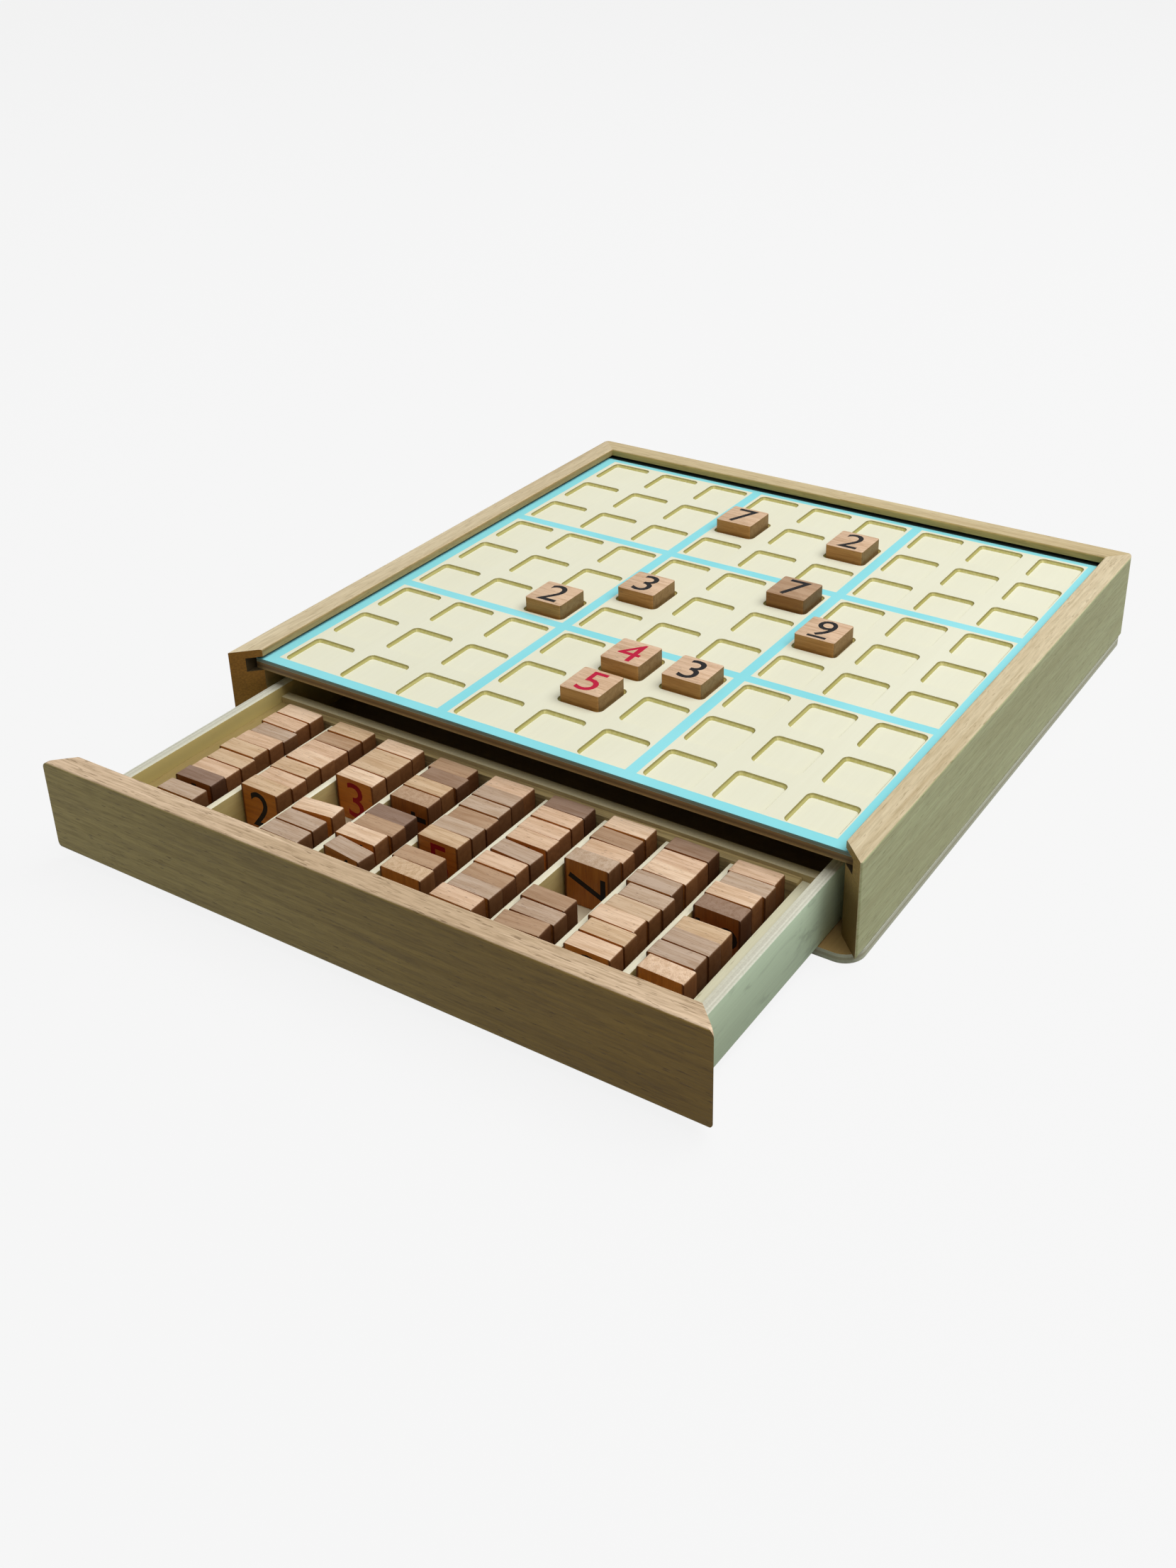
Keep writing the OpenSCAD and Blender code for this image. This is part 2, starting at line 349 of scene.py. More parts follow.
def beech(name, along, look, shift, rough=0.52):
    grain, shares = beechGrain, beechGrain["shares"]
    paint = Finish(name, rough, grain["specular"])
    bands, streaks, fibres, flecks = (
        paint.grain(along, shift=shift, **grain[part]) for part in ("bands", "streaks", "fibres", "flecks"))
    tone = bands * shares["bands"] + streaks * shares["streaks"] + fibres * shares["fibres"]
    wood = paint.tones(tone, look["dark"], look["light"], look.get("spread", grain["spread"]))
    mask = paint.smooth(flecks, *grain["fleckEdge"]) * look["flecks"]
    wood = paint.mix(mask, wood, look["fleck"])
    if "dashes" in look:
        dashes = paint.smooth(paint.grain(along, shift=shift, **grain["dashes"]), *grain["dashEdge"])
        wood = paint.mix(dashes, wood, paint.tinted(wood, look["dashes"]))
    # Painted shade: faces that look along an axis are darkened by their tint, and inward faces on the left
    # and right take the browner inner tint
    for axis, tint in look.get("sides", {}).items():
        if axis == "X" and "inner" in look:
            tint = paint.mix(paint.inward(), tint, look["inner"])
        wood = paint.mix(paint.towards(axis), wood, paint.tinted(wood, tint))
    # Painted shade: pieces on the left are darkened as a whole
    if "leftShade" in look:
        wood = paint.mix(paint.at("X") < 0.0, wood, paint.tinted(wood, look["leftShade"]))
    # Painted shade: faces that look along Y are darkened, more towards the right
    if "ends" in look:
        rightward = paint.smooth(paint.at("X"), cadBox[0].x, cadBox[1].x)
        wood = paint.mix(paint.towards("Y"), wood, paint.tinted(wood, paint.mix(rightward, *look["ends"])))
    # Painted shade: the groove and the inward faces below its top are painted near-black
    if "groove" in look:
        cut = paint.squareOn("Z") | (paint.inward() & (abs(paint.at("X")) > look["grooveFrom"]))
        wood = paint.mix(cut & (paint.at("Z") < look["grooveTop"]), wood, look["groove"])
    if "mitre" in look:
        endGrain = paint.tones(flecks, look["mitre"], times(look["mitre"], grain["mitreLight"]))
        # Painted shade: the mitre end darkens towards the bottom
        if "mitreLowShade" in look:
            lowerShade = paint.smooth(paint.at("Z"), *(share * cadBox[1].z for share in grain["mitreShadeSpan"]))
            endGrain = paint.mix(lowerShade, endGrain, look["mitreLowShade"])
        wood = paint.mix(paint.inward() & (paint.facing("Y") < grain["mitreFacing"]), wood, endGrain)
    paint.feed("Base Color", wood)
    paint.feed("Roughness", fibres * grain["roughSwing"] + (rough - grain["roughSwing"] / 2))
    paint.bump(fibres - mask * grain["fleckDepth"], grain["relief"])
    return paint


# Plywood: veneer faces, with the layers showing where an edge is cut across
plyGrain = {
    "fibres": {"scale": (30, 1100), "detail": 3.0, "rough": 0.6},
    "bands": {"scale": (5, 60), "detail": 2.0, "rough": 0.5, "warp": 0.4},
    "grit": {"scale": (1400, 1400), "detail": 2.0, "rough": 0.6},
    "toneShares": {"bands": 0.6, "fibres": 0.4},
    "scuffs": {"detail": 4.0, "rough": 0.65, "warp": 0.8},
    "scuffScale": (60, 45, 120),
    "scuffEdge": (0.52, 0.7),
    "scuffStrength": 0.5,
    "scuffDark": 0.55,
    "innerDark": 0.75,
    "layerWander": 0.06,
    "grime": (0.3, 0.22, 0.13),
    "grimeFrom": 0.35,
    "grimeStrength": 0.5,
    "rearShadeTint": (0.4, 0.34, 0.26),
    "rearShadeOver": 6 * mm,
    "roughness": 0.62,
    "specular": 0.25,
    "relief": 0.1 * mm,
    "reliefShares": {"fibres": 0.6, "grit": 0.4},
    "reliefStrength": 0.4,
}


def plywood(name, look):
    grain, shift = plyGrain, look["shift"]
    paint = Finish(name, grain["roughness"], grain["specular"])
    fibres, bands, grit = (
        paint.grain(look["along"], shift=shift, **grain[part]) for part in ("fibres", "bands", "grit"))
    tone = bands * grain["toneShares"]["bands"] + fibres * grain["toneShares"]["fibres"]
    veneer = paint.tones(tone, look["dark"], look["light"])
    if "inner" in look:
        scuffs = paint.noise(paint.stretched(paint.place, grain["scuffScale"], shift), **grain["scuffs"])
        worn = paint.smooth(scuffs, *grain["scuffEdge"]) * grain["scuffStrength"]
        veneer = paint.mix(worn, veneer, times(look["dark"], grain["scuffDark"]))
        inside = paint.tones(bands, times(look["inner"], grain["innerDark"]), look["inner"])
        veneer = paint.mix(paint.inward(), veneer, inside)
    low, high = look["across"]
    depth = (abs(paint.at(look["layered"])) - low) / (high - low)
    plies = paint.ramp(depth + (fibres - 0.5) * grain["layerWander"], look["layers"])
    plies.socket.node.color_ramp.interpolation = "CONSTANT"
    cut = paint.mix((grit - grain["grimeFrom"]) * grain["grimeStrength"], plies, grain["grime"])
    edge = 0.0
    for axis in look["edges"]:
        edge = paint.squareOn(axis) | edge
    if "rim" in look:
        edge = (abs(paint.at("X")) > look["rim"]) | edge
    colour = paint.mix(edge, veneer, cut)
    # Painted shade: darker from a given depth on, behind the partition in the drawer
    if "rearShadeFrom" in look:
        rearShade = paint.smooth(paint.at("Y"), look["rearShadeFrom"], look["rearShadeFrom"] + grain["rearShadeOver"])
        colour = paint.mix(rearShade, colour, paint.tinted(colour, grain["rearShadeTint"]))
    paint.feed("Base Color", colour)
    relief = fibres * grain["reliefShares"]["fibres"] + grit * grain["reliefShares"]["grit"]
    paint.bump(relief, grain["relief"], grain["reliefStrength"])
    return paint


# Mesh helpers
def addPiece(name, mesh, body, standsFor):
    made = hold(name, mesh)
    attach(made, body)
    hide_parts(*standsFor)


def smoothFaces(mesh, degrees=35):
    for face in mesh.polygons:
        face.use_smooth = True
    mesh.set_sharp_from_angle(angle=math.radians(degrees))


def softBlock(shape, low, high, bevel, steps=2):
    corners = bmesh.ops.create_cube(shape, size=1.0)["verts"]
    low, high = Vector(low), Vector(high)
    for corner in corners:
        corner.co = Vector(((low + high) / 2)[i] + corner.co[i] * (high - low)[i] for i in range(3))
    edges = list({edge for corner in corners for edge in corner.link_edges})
    bmesh.ops.bevel(shape, geom=corners + edges, offset=bevel, segments=steps, profile=0.5, affect="EDGES")


def plainMesh(shape, name):
    mesh = bpy.data.meshes.new(name)
    shape.to_mesh(mesh)
    shape.free()
    return mesh


def finishedMesh(shape, name, paint):
    mesh = plainMesh(shape, name)
    mesh.materials.append(paint.material)
    smoothFaces(mesh)
    return mesh


def extent(verts):
    spots = [vert.co for vert in verts]
    return [Vector(pick(spot[i] for spot in spots) for i in range(3)) for pick in (min, max)]


def dress(name, paint):
    mesh = nodes[name].data
    mesh.materials.clear()
    mesh.materials.append(paint.material)


# Geometry tree with named inputs, run on a start mesh and turned into a plain mesh
class Pattern(Graph):
    def __init__(self, name, inputs):
        tree = bpy.data.node_groups.new(name, "GeometryNodeTree")
        super().__init__(tree)
        tree.interface.new_socket("Geometry", in_out="INPUT", socket_type="NodeSocketGeometry")
        self.ids = {}
        for key, kind in inputs.items():
            item = tree.interface.new_socket(key, in_out="INPUT", socket_type="NodeSocket" + kind)
            self.ids[key] = item.identifier
        tree.interface.new_socket("Geometry", in_out="OUTPUT", socket_type="NodeSocketGeometry")
        self.start = tree.nodes.new("NodeGroupInput")

    def given(self, key):
        return Value(self, self.start.outputs[key])

    def shapeOf(self, key):
        return self.node("GeometryNodeObjectInfo", None, {"Object": self.given(key)}, out="Geometry")

    def painted(self, geometry, key):
        return self.node("GeometryNodeSetMaterial", None, {"Geometry": geometry, "Material": self.given(key)})

    def repeated(self, points, instance, **placing):
        copies = self.node("GeometryNodeInstanceOnPoints", None, {
            "Points": points, "Instance": instance, **placing})
        return self.node("GeometryNodeRealizeInstances", None, {0: copies})

    def end(self, value):
        self.node("NodeGroupOutput", None, {0: value})

    def run(self, startMesh, values, name):
        holder = hold(name, startMesh)
        modifier = holder.modifiers.new(name, "NODES")
        modifier.node_group = self.tree
        for key, value in values.items():
            modifier[self.ids[key]] = value
        bpy.context.view_layer.update()
        graph = bpy.context.evaluated_depsgraph_get()
        mesh = bpy.data.meshes.new_from_object(holder.evaluated_get(graph))
        holder.modifiers.remove(modifier)
        bpy.data.objects.remove(holder)
        mesh.name = name
        return mesh


# Rails, base plate and drawer front keep their solids
railLook = {
    "light": (0.77, 0.652, 0.437),
    "dark": (0.585, 0.46, 0.27),
    "fleck": (0.30, 0.20, 0.09),
    "flecks": 0.4,
    "dashes": (0.81, 0.80, 0.76),
    "spread": 0.115,
    # painted shade on faces that look along X and Y, browner on inward faces
    "sides": {"X": (0.74, 0.94, 0.78), "Y": (0.85, 0.79, 0.49)},
    "inner": (0.60, 0.52, 0.34),
    "mitre": (0.38, 0.27, 0.09),
    # painted shade in the groove
    "groove": (0.05, 0.035, 0.015),
    "grooveFrom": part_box("right_rail")[0].x + 0.5 * mm,
    "grooveTop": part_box("board_panel")[1].z + 2.0 * mm,
}
# The left rail's mitre end is painted darker than the right's: painted shade
leftRailLook = dict(railLook, mitre=(0.26, 0.125, 0.022))
rightRailLook = dict(railLook, mitreLowShade=(0.17, 0.10, 0.025))
backRailLook = dict(railLook, light=(0.70, 0.575, 0.34), dark=(0.54, 0.41, 0.21))
frontLook = {
    "light": (0.90, 0.685, 0.477),
    "dark": (0.61, 0.443, 0.276),
    "fleck": (0.20, 0.12, 0.05),
    "flecks": 0.7,
    "dashes": (0.66, 0.63, 0.58),
    "spread": 0.085,
    "ends": ((0.73, 0.79, 0.455), (0.475, 0.395, 0.14)),  # painted shade on the long faces, lighter at the left and deeper at the right
}
dressed = (
    ("left_rail", "Y", leftRailLook, (0.3, 0.1, 0.7)),
    ("right_rail", "Y", rightRailLook, (0.8, 0.3, 0.1)),
    ("back_rail", "X", backRailLook, (1.3, 0.4, 0.2)),
    ("drawer_front", "X", frontLook, (2.1, 0.9, 0.5)),
)
for name, along, look, shift in dressed:
    dress(name, beech(name + "Wood", along, look, shift))

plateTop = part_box("base_plate")[1].z
plateLook = {
    "along": "Y",
    "light": (0.46, 0.30, 0.12),
    "dark": (0.35, 0.22, 0.075),
    "layered": "Z",
    "across": (0.0, plateTop),
    "layers": [(0.0, (0.66, 0.69, 0.54)), (0.36, (0.54, 0.53, 0.38)), (0.66, (0.70, 0.72, 0.58))],
    "edges": "XY",
    "rim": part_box("base_plate")[1].x - 1.5 * mm,
    "shift": (0.2, 0.6, 0.1),
}
dress("base_plate", plywood("platePly", plateLook))
print("rails, plate and front dressed")


# Board with its recesses, one cell repeated by a pattern
boardLow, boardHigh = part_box("board_panel")
tileLow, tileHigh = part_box("board_tile_1")
board = {
    "cells": 9,
    "blocks": 3,
    "pitch": 24.3 * mm,
    "recess": 17.0 * mm,
    "depth": boardHigh.z - tileLow.z,
    "round": 1.8 * mm,
    "slope": 0.36 * mm,
    "rim": 0.1 * mm,
    "arcSteps": 5,
    "weld": 0.02 * mm,
    "lineWidth": 4.1 * mm,
    "lineWander": 0.18 * mm,
    "border": {"left": 1.6 * mm, "right": 2.7 * mm, "front": 2.8 * mm, "back": 2.0 * mm},
    "backShadowBand": 1.2 * mm,
    "cutBand": 0.3 * mm,
}
boardLook = {
    "fibres": {"scale": (35, 900), "shift": (0.4, 0.2, 0.1), "detail": 3.0, "rough": 0.6},
    "clouds": {"scale": (8, 30), "shift": (0.7, 0.1, 0.5), "detail": 2.0, "rough": 0.5},
    "toneShares": {"fibres": 0.35, "clouds": 0.65},
    "cream": ((0.825, 0.81, 0.625), (0.87, 0.86, 0.68)),
    "cyan": ((0.25, 0.74, 0.80), (0.32, 0.81, 0.87)),
    "backShadow": (0.02, 0.035, 0.03),
    "wall": ((0.62, 0.56, 0.18), (0.73, 0.67, 0.28)),
    "wallEdge": (0.35, 0.7),
    "wallTop": (0.56, 0.53, 0.45),
    "wallTopFade": (0.2, 0.55),  # shares of the recess's depth
    "sideWallShade": (0.70, 0.70, 0.62),
    "sideFacing": 0.6,
    "layers": [(0.0, (0.48, 0.34, 0.14)), (0.3, (0.15, 0.09, 0.035)),
               (0.58, (0.33, 0.21, 0.08)), (0.94, (0.2, 0.4, 0.4))],
    "layerWander": 0.08,
    "specular": 0.35,
    "roughness": 0.6,
    "lineGloss": 0.1,
    "relief": 0.08 * mm,
    "reliefStrength": 0.35,
}
gridReach = board["cells"] * board["pitch"] / 2


def recessLoop(shape, side, radius, height):
    loop = []
    for quarter in range(4):
        middle = (side / 2 - radius) * math.sqrt(2)
        angle = math.radians(45 + 90 * quarter)
        centre = Vector((middle * math.cos(angle), middle * math.sin(angle), height))
        for step in range(board["arcSteps"]):
            turn = math.radians(90 * quarter + 90 * step / (board["arcSteps"] - 1))
            offset = Vector((radius * math.cos(turn), radius * math.sin(turn), 0))
            loop.append(shape.verts.new(centre + offset))
    return loop


def cellMesh():
    shape = bmesh.new()
    half, steps = board["pitch"] / 2, board["arcSteps"]
    side, radius, depth = board["recess"], board["round"], board["depth"]
    slope, rim = board["slope"], board["rim"]
    outer = [shape.verts.new((half * x, half * y, 0)) for x, y in ((1, 1), (-1, 1), (-1, -1), (1, -1))]
    loops = [recessLoop(shape, side + 2 * grow, radius + grow, level) for grow, level in (
        (slope + rim, 0), (slope, -rim), (-slope, rim - depth), (-slope - rim, -depth))]
    mouth, count = loops[0], len(loops[0])
    for quarter in range(4):
        first = quarter * steps
        last, following = first + steps - 1, (first + steps) % count
        for i in range(first, last):
            shape.faces.new((outer[quarter], mouth[i + 1], mouth[i]))
        shape.faces.new((outer[quarter], outer[(quarter + 1) % 4], mouth[following], mouth[last]))
    for upper, lower in zip(loops, loops[1:]):
        for i in range(count):
            shape.faces.new((upper[i], upper[(i + 1) % count], lower[(i + 1) % count], lower[i]))
    shape.faces.new(loops[-1])
    bmesh.ops.recalc_face_normals(shape, faces=shape.faces)
    if sum(face.normal.z * face.calc_area() for face in shape.faces) < 0:
        bmesh.ops.reverse_faces(shape, faces=shape.faces)
    return plainMesh(shape, "cell")


def boardFinish():
    look, shares = boardLook, boardLook["toneShares"]
    paint = Finish("boardPaint", look["roughness"], look["specular"])
    x, y, z = (paint.at(name) for name in "XYZ")
    fibres, clouds = (paint.grain("Y", **look[part]) for part in ("fibres", "clouds"))
    # Lines between the blocks and round the grid
    ragged = (fibres - 0.5) * board["lineWander"]
    block, border = gridReach / board["blocks"], board["border"]
    lines = (x + ragged < border["left"] - gridReach) | (x + ragged > gridReach - border["right"])
    lines = lines | (y + ragged < border["front"] - gridReach) | (y + ragged > gridReach - border["back"])
    for along in (x, y):
        lines = lines | (abs(abs(along) - block) + ragged < board["lineWidth"] / 2)
    cream = paint.tones(fibres * shares["fibres"] + clouds * shares["clouds"], *look["cream"])
    top = paint.mix(lines, cream, paint.tones(clouds, *look["cyan"]))
    # A painted shadow in a band along the back rail
    top = paint.mix(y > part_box("back_rail")[0].y - board["backShadowBand"], top, look["backShadow"])
    # Recess walls, darker along their upper edge and with painted shade on those that face sideways, and the
    # cut edge of the panel
    sunk = boardHigh.z - z
    wall = paint.mix(paint.smooth(fibres, *look["wallEdge"]), *look["wall"])
    lowerWall = paint.smooth(sunk, *(share * board["depth"] for share in look["wallTopFade"]))
    wall = paint.mix(lowerWall, paint.tinted(wall, look["wallTop"]), wall)
    wall = paint.mix(paint.squareOn("X", look["sideFacing"]), wall, paint.tinted(wall, look["sideWallShade"]))
    height = (z - boardLow.z) / (boardHigh.z - boardLow.z)
    cutEdge = paint.ramp(height + (fibres - 0.5) * look["layerWander"], look["layers"])
    band = board["cutBand"]
    outside = (abs(x) > boardHigh.x - band) | (y < boardLow.y + band) | (y > boardHigh.y - band)
    level = board["rim"] / 2
    painted = (sunk < level) | (abs(sunk - board["depth"]) < level)
    paint.feed("Base Color", paint.mix(painted, paint.mix(outside, wall, cutEdge), top))
    paint.feed("Roughness", look["roughness"] - lines * look["lineGloss"])
    paint.bump(fibres, look["relief"], look["reliefStrength"])
    return paint


boardPaint = boardFinish()
cells = Pattern("recessCells", {"Cell": "Object", "Count": "Int", "Size": "Float", "Paint": "Material"})
grid = cells.node("GeometryNodeMeshGrid", None, {
    "Size X": cells.given("Size"), "Size Y": cells.given("Size"),
    "Vertices X": cells.given("Count"), "Vertices Y": cells.given("Count")})
welded = cells.node("GeometryNodeMergeByDistance", None, {
    "Geometry": cells.repeated(grid, cells.shapeOf("Cell")), "Distance": board["weld"]})
cells.end(cells.painted(welded, "Paint"))

cellObject = hold("cell", cellMesh())
boardTop = cells.run(bpy.data.meshes.new("start"), {
    "Cell": cellObject, "Count": board["cells"], "Size": (board["cells"] - 1) * board["pitch"],
    "Paint": boardPaint.material}, "boardTop")
bpy.data.objects.remove(cellObject)


# Carries the open rim on to a level, and out to the panel's own outline if asked
def carryRim(shape, level, outwards):
    rim = [edge for edge in shape.edges if edge.is_boundary]
    made = bmesh.ops.extrude_edge_only(shape, edges=rim)["geom"]
    for vert in (item for item in made if isinstance(item, bmesh.types.BMVert)):
        for axis in (0, 1):
            if outwards and abs(vert.co[axis]) > gridReach - board["weld"]:
                vert.co[axis] = boardHigh[axis] if vert.co[axis] > 0 else boardLow[axis]
        vert.co.z = level


shape = bmesh.new()
shape.from_mesh(boardTop)
bmesh.ops.translate(shape, verts=shape.verts, vec=(0, 0, boardHigh.z))
carryRim(shape, boardHigh.z, True)
carryRim(shape, boardLow.z, False)
bmesh.ops.contextual_create(shape, geom=[edge for edge in shape.edges if edge.is_boundary])
bmesh.ops.recalc_face_normals(shape, faces=shape.faces)
boardMesh = finishedMesh(shape, "board", boardPaint)
addPiece("board", boardMesh, "box", ["board_panel"])
print("board made:", len(boardMesh.polygons), "faces")


# Drawer walls, partition and strips
drawer = {
    "bevel": 0.35 * mm,
    "stripBevel": 0.3 * mm,
    "stripRough": 0.6,
}
wallLow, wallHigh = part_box("drawer_right_side")
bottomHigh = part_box("drawer_bottom")[1]
sideLook = {
    "along": "Y",
    "light": (0.71, 0.87, 0.64),
    "dark": (0.58, 0.71, 0.51),
    "inner": (0.60, 0.48, 0.18),
    "layered": "X",
    "across": (wallLow.x, wallHigh.x),
    "layers": [(0.0, (0.74, 0.73, 0.59)), (0.3, (0.66, 0.65, 0.53)), (0.56, (0.76, 0.75, 0.63)),
               (0.7, (0.64, 0.64, 0.52)), (0.84, (0.73, 0.73, 0.61))],
    "edges": "Z",
    "shift": (0.5, 0.2, 0.8),
}
crossLook = {
    "along": "X",
    "light": (0.56, 0.45, 0.23),
    "dark": (0.40, 0.31, 0.14),
    "layered": "Y",
    "across": (0.0, 0.2),  # from the middle, so the rear wall's top is paler than the partition's
    "layers": [(0.0, (0.88, 0.80, 0.52)), (0.5, (0.66, 0.58, 0.36))],
    "edges": "Z",
    "shift": (0.9, 0.3, 0.4),
}
bottomLook = {
    "along": "X",
    "light": (0.74, 0.66, 0.48),
    "dark": (0.58, 0.49, 0.33),
    "layered": "Z",
    "across": (plateTop, bottomHigh.z),
    "layers": [(0.0, (0.6, 0.52, 0.36)), (0.5, (0.44, 0.35, 0.22))],
    "edges": "XY",
    # painted shade behind the partition
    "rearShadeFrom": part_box("partition")[1].y,
    "shift": (0.1, 0.8, 0.3),
}
dividerLook = {
    "light": (0.90, 0.86, 0.68),
    "dark": (0.78, 0.72, 0.52),
    "fleck": (0.55, 0.45, 0.27),
    "flecks": 0.25,
    # painted shade on the sides of the strips
    "sides": {"X": (0.55, 0.46, 0.25), "Y": (0.7, 0.6, 0.36)},
}
spacerLook = {
    "light": (0.80, 0.77, 0.56),
    "dark": (0.66, 0.63, 0.43),
    "fleck": (0.40, 0.33, 0.17),
    "flecks": 0.4,
    # painted shade on the left strip
    "leftShade": (0.47, 0.36, 0.19),
}
backStripLook = {
    "light": (0.56, 0.43, 0.19),
    "dark": (0.26, 0.19, 0.08),
    "fleck": (0.2, 0.14, 0.06),
    "flecks": 0.4,
    "spread": 0.08,
}
sidePly, crossPly = plywood("sidePly", sideLook), plywood("crossPly", crossLook)
bottomPly = plywood("bottomPly", bottomLook)
dividerWood = beech("dividerWood", "Y", dividerLook, (3.1, 0.5, 0.9), drawer["stripRough"])
spacerWood = beech("spacerWood", "Y", spacerLook, (5.1, 0.7, 0.2), drawer["stripRough"])
backStripWood = beech("backStripWood", "X", backStripLook, (4.1, 0.2, 0.6), drawer["stripRough"])
slabs = (
    ("rightWall", ["drawer_right_side"], sidePly, "plywood", drawer["bevel"]),
    ("leftWall", ["drawer_left_side"], sidePly, "plywood", drawer["bevel"]),
    ("rearWall", ["drawer_rear_wall"], crossPly, "plywood", drawer["bevel"]),
    ("bottomPanel", ["drawer_bottom"], bottomPly, "plywood", drawer["stripBevel"]),
    ("partitionWall", ["partition"], crossPly, "plywood", drawer["bevel"]),
    ("backStrip", ["back_strip"], backStripWood, "pale_strip", drawer["stripBevel"]),
    ("sideStrips", ["left_spacer", "right_spacer"], spacerWood, "pale_strip", drawer["stripBevel"]),
)
for name, standsFor, paint, slot, bevel in slabs:
    shape = bmesh.new()
    for node in standsFor:
        softBlock(shape, *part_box(node), bevel)
    addPiece(name, finishedMesh(shape, name, paint), "drawer", standsFor)

# Dividers, one strip repeated along the drawer
dividerNodes = ["divider_%d" % i for i in range(1, 9)]
firstLow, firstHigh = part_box(dividerNodes[0])
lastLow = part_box(dividerNodes[-1])[0]
dividers = Pattern("dividerRow", {"Strip": "Object", "Count": "Int", "Step": "Vector", "Paint": "Material"})
row = dividers.node("GeometryNodeMeshLine", None, {
    "Count": dividers.given("Count"), "Offset": dividers.given("Step")})
dividers.end(dividers.painted(dividers.repeated(row, dividers.shapeOf("Strip")), "Paint"))
shape = bmesh.new()
softBlock(shape, firstLow, firstHigh, drawer["stripBevel"])
stripObject = hold("strip", finishedMesh(shape, "strip", dividerWood))
step = (lastLow - firstLow) / (len(dividerNodes) - 1)
dividerMesh = dividers.run(bpy.data.meshes.new("start"), {
    "Strip": stripObject, "Count": len(dividerNodes), "Step": tuple(step),
    "Paint": dividerWood.material}, "dividerRow")
bpy.data.objects.remove(stripObject)
smoothFaces(dividerMesh)
addPiece("dividers", dividerMesh, "drawer", dividerNodes)
print("drawer made")


# Number tiles: soft-edged wood, black digit on one face and red on the other
tiles = {
    "side": tileHigh.x - tileLow.x,
    "thick": tileHigh.z - tileLow.z,
    "cornerRound": 0.8 * mm,
    "cornerSteps": 4,
    "edgeRound": 0.22 * mm,
    "edgeSteps": 2,
    "digitSteps": 4,
    "digitHigh": 12.8 * mm,
    "digitBold": 0.02 * mm,
    "digitMerge": 0.08 * mm,
    "inkThick": 0.03 * mm,
    "inkRoot": 0.05 * mm,
    "underlined": (6, 9),
    "underlinedHigh": 11.8 * mm,
    "underlineGap": 0.4 * mm,
    "underline": 1.4 * mm,
    "underlineBevel": 0.005 * mm,
    "sway": 0.45 * mm,
    "leanDegrees": 0.9,
    "twistDegrees": 1.1,
    "toneSwing": 0.05,
    "seed": 7,
}
tileLook = {
    "bands": {"scale": (45, 620), "detail": 2.0, "rough": 0.5, "warp": 0.5},
    "fibres": {"scale": (140, 3200), "detail": 3.0, "rough": 0.6},
    "pores": {"scale": (500, 3600), "detail": 1.0, "rough": 0.4},
    "woods": {"dark": 0.03, "brown": 0.2, "grey": 0.4, "tan": 0.6, "pink": 0.8, "pale": 0.97},
    "species": [(0.0, (0.30, 0.20, 0.147)), (0.2, (0.52, 0.34, 0.208)), (0.4, (0.565, 0.43, 0.325)),
                (0.6, (0.725, 0.525, 0.333)), (0.8, (0.80, 0.565, 0.39)), (1.0, (0.90, 0.675, 0.48))],
    "figure": (0.75, 0.67, 0.58),
    "figureShares": {"bands": 0.5, "fibres": 0.5},
    "figureEdge": (0.34, 0.62),
    "pore": (0.16, 0.08, 0.045),
    "poreEdge": (0.66, 0.74),
    "poreStrength": 0.5,
    # painted shade on upright faces, in play and in the drawer, deepest near the upright edges there
    "playSideShade": {"X": (0.355, 0.31, 0.18), "Y": (0.69, 0.495, 0.22)},
    "storedSideShade": {"X": (0.22, 0.12, 0.053), "Y": (0.72, 0.35, 0.07)},
    "storedRimShade": (0.2, 0.085, 0.03),
    "storedRimShadeBand": (1.1 * mm, 0.35 * mm),
    "sideEdge": (0.5, 0.85),
    "specular": 0.25,
    "roughness": 0.5,
    "roughSwing": 0.2,
    "relief": 0.08 * mm,
}
inkLook = {
    "worn": {"scale": (2500, 2500), "detail": 2.0, "rough": 0.6},
    "wornEdge": (0.55, 0.8),
    "roughness": 0.7,
    "specular": 0.12,
    "relief": 0.02 * mm,
    "reliefStrength": 0.3,
}


